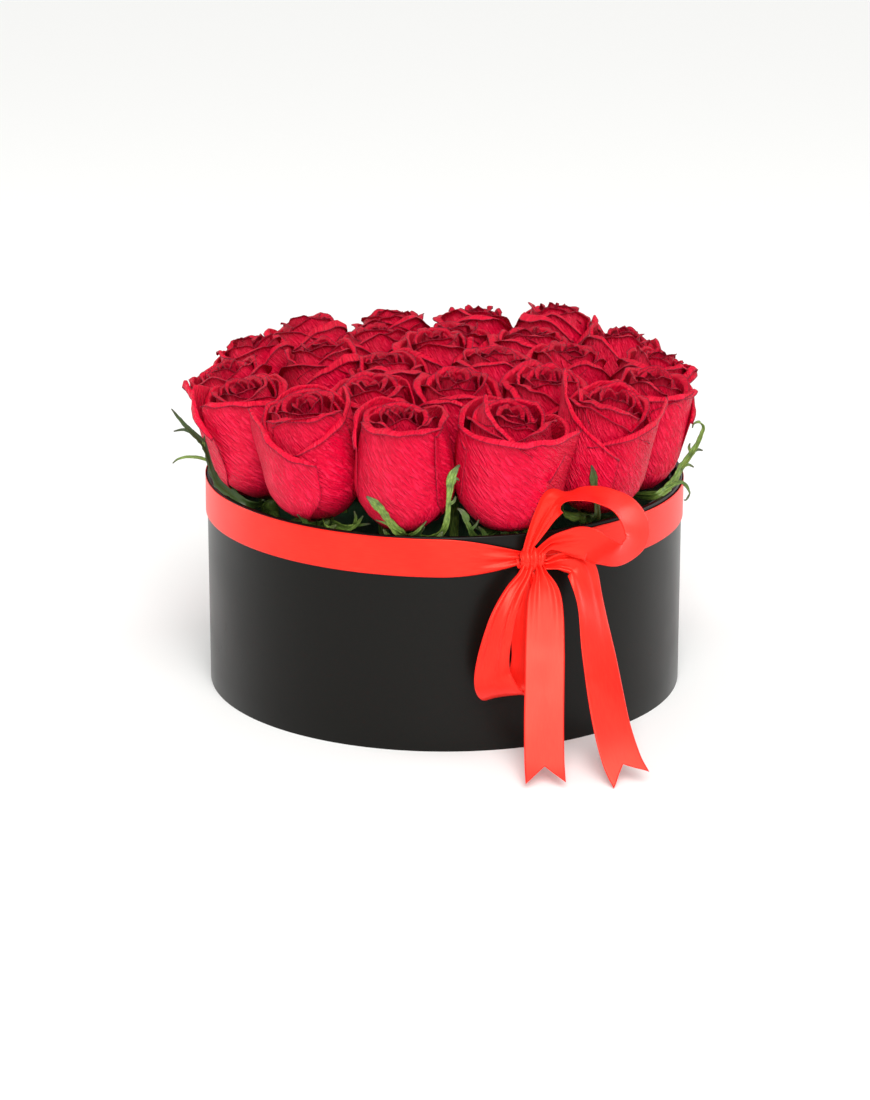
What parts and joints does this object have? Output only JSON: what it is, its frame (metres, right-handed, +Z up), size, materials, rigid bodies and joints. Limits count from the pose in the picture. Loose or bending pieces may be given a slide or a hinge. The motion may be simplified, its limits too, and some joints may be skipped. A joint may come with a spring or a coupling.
{
  "type": "flower box",
  "caption": "Round black board flower box with film liner, wet floral foam, a bed of cut red roses that lift out, and a satin ribbon tied in a bow.",
  "frame": {"origin": "centre of the flat underside of the base disc", "axes": "+Z up through the box's axis, -Y towards the bow's side, +X to the viewer's right when facing the bow"},
  "size_m": [0.2857, 0.3418, 0.1951],
  "materials": {
    "black_paper_board": "matte",
    "clear_film": "gloss",
    "wet_foam": "matte",
    "rose_petal": "satin",
    "rose_stem": "satin",
    "red_satin": "satin"
  },
  "bodies": {
    "box": {"box_wall": "black_paper_board", "base_disc": "black_paper_board", "ribbon_band": "red_satin", "bow_knot": "red_satin", "loop_right": "red_satin", "loop_left": "red_satin", "tail_left": "red_satin", "tail_right": "red_satin"},
    "insert": {"waterproof_liner": "clear_film", "floral_foam": "wet_foam"},
    "rose_01": {"rose_01_bloom": "rose_petal", "rose_01_stem": "rose_stem"},
    "rose_02": {"rose_02_bloom": "rose_petal", "rose_02_stem": "rose_stem"},
    "rose_03": {"rose_03_bloom": "rose_petal", "rose_03_stem": "rose_stem"},
    "rose_04": {"rose_04_bloom": "rose_petal", "rose_04_stem": "rose_stem"},
    "rose_05": {"rose_05_bloom": "rose_petal", "rose_05_stem": "rose_stem"},
    "rose_06": {"rose_06_bloom": "rose_petal", "rose_06_stem": "rose_stem"},
    "rose_07": {"rose_07_bloom": "rose_petal", "rose_07_stem": "rose_stem"},
    "rose_08": {"rose_08_bloom": "rose_petal", "rose_08_stem": "rose_stem"},
    "rose_09": {"rose_09_bloom": "rose_petal", "rose_09_stem": "rose_stem"},
    "rose_10": {"rose_10_bloom": "rose_petal", "rose_10_stem": "rose_stem"},
    "rose_11": {"rose_11_bloom": "rose_petal", "rose_11_stem": "rose_stem"},
    "rose_12": {"rose_12_bloom": "rose_petal", "rose_12_stem": "rose_stem"},
    "rose_13": {"rose_13_bloom": "rose_petal", "rose_13_stem": "rose_stem"},
    "rose_14": {"rose_14_bloom": "rose_petal", "rose_14_stem": "rose_stem"},
    "rose_15": {"rose_15_bloom": "rose_petal", "rose_15_stem": "rose_stem"},
    "rose_16": {"rose_16_bloom": "rose_petal", "rose_16_stem": "rose_stem"},
    "rose_17": {"rose_17_bloom": "rose_petal", "rose_17_stem": "rose_stem"},
    "rose_18": {"rose_18_bloom": "rose_petal", "rose_18_stem": "rose_stem"},
    "rose_19": {"rose_19_bloom": "rose_petal", "rose_19_stem": "rose_stem"},
    "rose_20": {"rose_20_bloom": "rose_petal", "rose_20_stem": "rose_stem"},
    "rose_21": {"rose_21_bloom": "rose_petal", "rose_21_stem": "rose_stem"},
    "rose_22": {"rose_22_bloom": "rose_petal", "rose_22_stem": "rose_stem"},
    "rose_23": {"rose_23_bloom": "rose_petal", "rose_23_stem": "rose_stem"},
    "rose_24": {"rose_24_bloom": "rose_petal", "rose_24_stem": "rose_stem"},
    "rose_25": {"rose_25_bloom": "rose_petal", "rose_25_stem": "rose_stem"}
  },
  "joints": [
    {"name": "insert_lift", "type": "slide", "parent": "box", "child": "insert", "axis": [0, 0, 1], "range_m": [0, 0.15]},
    {"name": "rose_01_pull", "type": "slide", "parent": "insert", "child": "rose_01", "axis": [-0.2419, 0, 0.9703], "range_m": [0, 0.075]},
    {"name": "rose_02_pull", "type": "slide", "parent": "insert", "child": "rose_02", "axis": [-0.2193, -0.1022, 0.9703], "range_m": [0, 0.075]},
    {"name": "rose_03_pull", "type": "slide", "parent": "insert", "child": "rose_03", "axis": [-0.1489, -0.1906, 0.9703], "range_m": [0, 0.075]},
    {"name": "rose_04_pull", "type": "slide", "parent": "insert", "child": "rose_04", "axis": [-0.0462, -0.2375, 0.9703], "range_m": [0, 0.075]},
    {"name": "rose_05_pull", "type": "slide", "parent": "insert", "child": "rose_05", "axis": [0.0707, -0.2314, 0.9703], "range_m": [0, 0.075]},
    {"name": "rose_06_pull", "type": "slide", "parent": "insert", "child": "rose_06", "axis": [0.1769, -0.165, 0.9703], "range_m": [0, 0.075]},
    {"name": "rose_07_pull", "type": "slide", "parent": "insert", "child": "rose_07", "axis": [0.2301, -0.0748, 0.9703], "range_m": [0, 0.075]},
    {"name": "rose_08_pull", "type": "slide", "parent": "insert", "child": "rose_08", "axis": [0.2401, 0.0295, 0.9703], "range_m": [0, 0.075]},
    {"name": "rose_09_pull", "type": "slide", "parent": "insert", "child": "rose_09", "axis": [0.2052, 0.1282, 0.9703], "range_m": [0, 0.075]},
    {"name": "rose_10_pull", "type": "slide", "parent": "insert", "child": "rose_10", "axis": [0.1318, 0.2029, 0.9703], "range_m": [0, 0.075]},
    {"name": "rose_11_pull", "type": "slide", "parent": "insert", "child": "rose_11", "axis": [0.0358, 0.2393, 0.9703], "range_m": [0, 0.075]},
    {"name": "rose_12_pull", "type": "slide", "parent": "insert", "child": "rose_12", "axis": [-0.0667, 0.2325, 0.9703], "range_m": [0, 0.075]},
    {"name": "rose_13_pull", "type": "slide", "parent": "insert", "child": "rose_13", "axis": [-0.1587, 0.1826, 0.9703], "range_m": [0, 0.075]},
    {"name": "rose_14_pull", "type": "slide", "parent": "insert", "child": "rose_14", "axis": [-0.221, 0.0984, 0.9703], "range_m": [0, 0.075]},
    {"name": "rose_15_pull", "type": "slide", "parent": "insert", "child": "rose_15", "axis": [-0.0814, -0.1207, 0.9894], "range_m": [0, 0.075]},
    {"name": "rose_16_pull", "type": "slide", "parent": "insert", "child": "rose_16", "axis": [0.1115, -0.0935, 0.9894], "range_m": [0, 0.075]},
    {"name": "rose_17_pull", "type": "slide", "parent": "insert", "child": "rose_17", "axis": [0.1441, 0.0203, 0.9894], "range_m": [0, 0.075]},
    {"name": "rose_18_pull", "type": "slide", "parent": "insert", "child": "rose_18", "axis": [0.0993, 0.1064, 0.9894], "range_m": [0, 0.075]},
    {"name": "rose_19_pull", "type": "slide", "parent": "insert", "child": "rose_19", "axis": [0.0127, 0.145, 0.9894], "range_m": [0, 0.075]},
    {"name": "rose_20_pull", "type": "slide", "parent": "insert", "child": "rose_20", "axis": [-0.0793, 0.1221, 0.9894], "range_m": [0, 0.075]},
    {"name": "rose_21_pull", "type": "slide", "parent": "insert", "child": "rose_21", "axis": [-0.1418, 0.0327, 0.9894], "range_m": [0, 0.075]},
    {"name": "rose_22_pull", "type": "slide", "parent": "insert", "child": "rose_22", "axis": [0.0126, -0.1027, 0.9946], "range_m": [0, 0.075]},
    {"name": "rose_23_pull", "type": "slide", "parent": "insert", "child": "rose_23", "axis": [0.0547, -0.0157, 0.9984], "range_m": [0, 0.075]},
    {"name": "rose_24_pull", "type": "slide", "parent": "insert", "child": "rose_24", "axis": [-0.0122, 0.0526, 0.9985], "range_m": [0, 0.075]},
    {"name": "rose_25_pull", "type": "slide", "parent": "insert", "child": "rose_25", "axis": [-0.0649, -0.0262, 0.9975], "range_m": [0, 0.075]}
  ]
}
